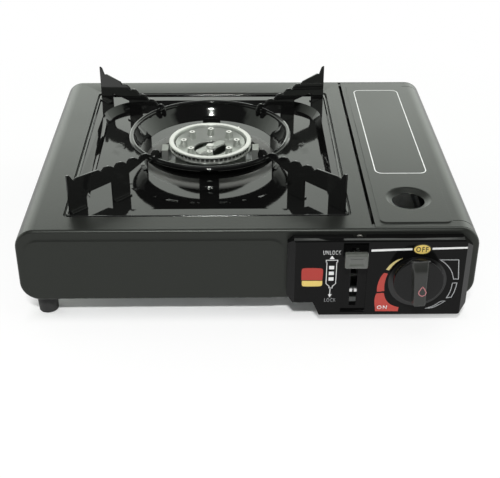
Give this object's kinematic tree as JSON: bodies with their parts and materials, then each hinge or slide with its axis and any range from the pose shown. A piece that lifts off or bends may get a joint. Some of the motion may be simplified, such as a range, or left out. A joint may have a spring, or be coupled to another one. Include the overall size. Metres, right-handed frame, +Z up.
{
  "type": "butane cassette stove",
  "caption": "Portable gas stove with a ringed burner in a drip pan, folded pan supports and a lidded bay for a lying butane cartridge.",
  "frame": {"origin": "middle of the footprint on the table under the feet", "axes": "+X to the right of a person who faces the controls, -Y towards that person, +Z up"},
  "size_m": [0.343, 0.3111, 0.1092],
  "materials": {
    "casing_paint": "satin",
    "enamel": "gloss",
    "gloss_plastic": "gloss",
    "knob_plastic": "satin",
    "tab_plastic": "gloss",
    "cast_aluminium": "satin",
    "galvanised_steel": "satin",
    "zinc_steel": "bright",
    "brass": "satin",
    "rubber": "matte",
    "ceramic": "satin"
  },
  "bodies": {
    "casing": {"base_tray": "galvanised_steel", "top_casing": "casing_paint", "side_panel_right": "casing_paint", "front_panel": "casing_paint", "rear_panel": "casing_paint", "panel_screws": "zinc_steel", "partition_wall": "galvanised_steel", "heat_reflector": "galvanised_steel", "rubber_feet": "rubber", "foot_screws": "zinc_steel", "burner_cup": "cast_aluminium", "burner_ring": "cast_aluminium", "burner_plate": "cast_aluminium", "burner_cap": "cast_aluminium", "mixing_tube": "cast_aluminium", "burner_bracket": "galvanised_steel", "electrode": "ceramic", "electrode_bracket": "galvanised_steel", "governor_body": "brass", "governor_cap": "zinc_steel", "governor_bracket": "galvanised_steel", "cartridge_seat": "brass", "seat_seal": "rubber", "gas_pipe": "brass", "gas_jet": "brass", "piezo_igniter": "tab_plastic", "knob_dial_ring": "knob_plastic", "control_bezel": "gloss_plastic", "lever_bracket": "galvanised_steel", "lever_pin": "zinc_steel", "carriage_guides": "galvanised_steel", "hinge_pin": "zinc_steel"},
    "lid": {"cartridge_lid": "casing_paint"},
    "knob": {"control_knob": "knob_plastic", "valve_spindle": "brass", "igniter_cam": "zinc_steel"},
    "lever": {"lock_lever": "zinc_steel", "lever_tab": "tab_plastic"},
    "carriage": {"cartridge_carriage": "zinc_steel"},
    "pan": {"drip_pan": "enamel", "wind_guard_ring": "enamel", "pan_support_front_left": "enamel", "pan_support_front_right": "enamel", "pan_support_rear_left": "enamel", "pan_support_rear_right": "enamel"}
  },
  "joints": [
    {"name": "lid_hinge", "type": "hinge", "parent": "casing", "child": "lid", "pos_m": [0.1694, 0.012, 0.048], "axis": [0, 1, 0], "range_deg": [0, 90]},
    {"name": "knob_turn", "type": "hinge", "parent": "casing", "child": "knob", "pos_m": [0.1245, -0.145, 0.0465], "axis": [0, -1, 0], "range_deg": [0, 130]},
    {"name": "lever_tilt", "type": "hinge", "parent": "casing", "child": "lever", "pos_m": [0.0787, -0.089, 0.045], "axis": [1, 0, 0], "range_deg": [0, 35]},
    {"name": "carriage_slide", "type": "slide", "parent": "casing", "child": "carriage", "axis": [0, -1, 0], "range_m": [0, 0.0103]},
    {"name": "pan_lift", "type": "slide", "parent": "casing", "child": "pan", "axis": [0, 0, 1], "range_m": [0, 0.06]}
  ],
  "couplings": [
    {"joint": "carriage_slide", "follows": "lever_tilt", "m_per_rad": 0.01674}
  ]
}
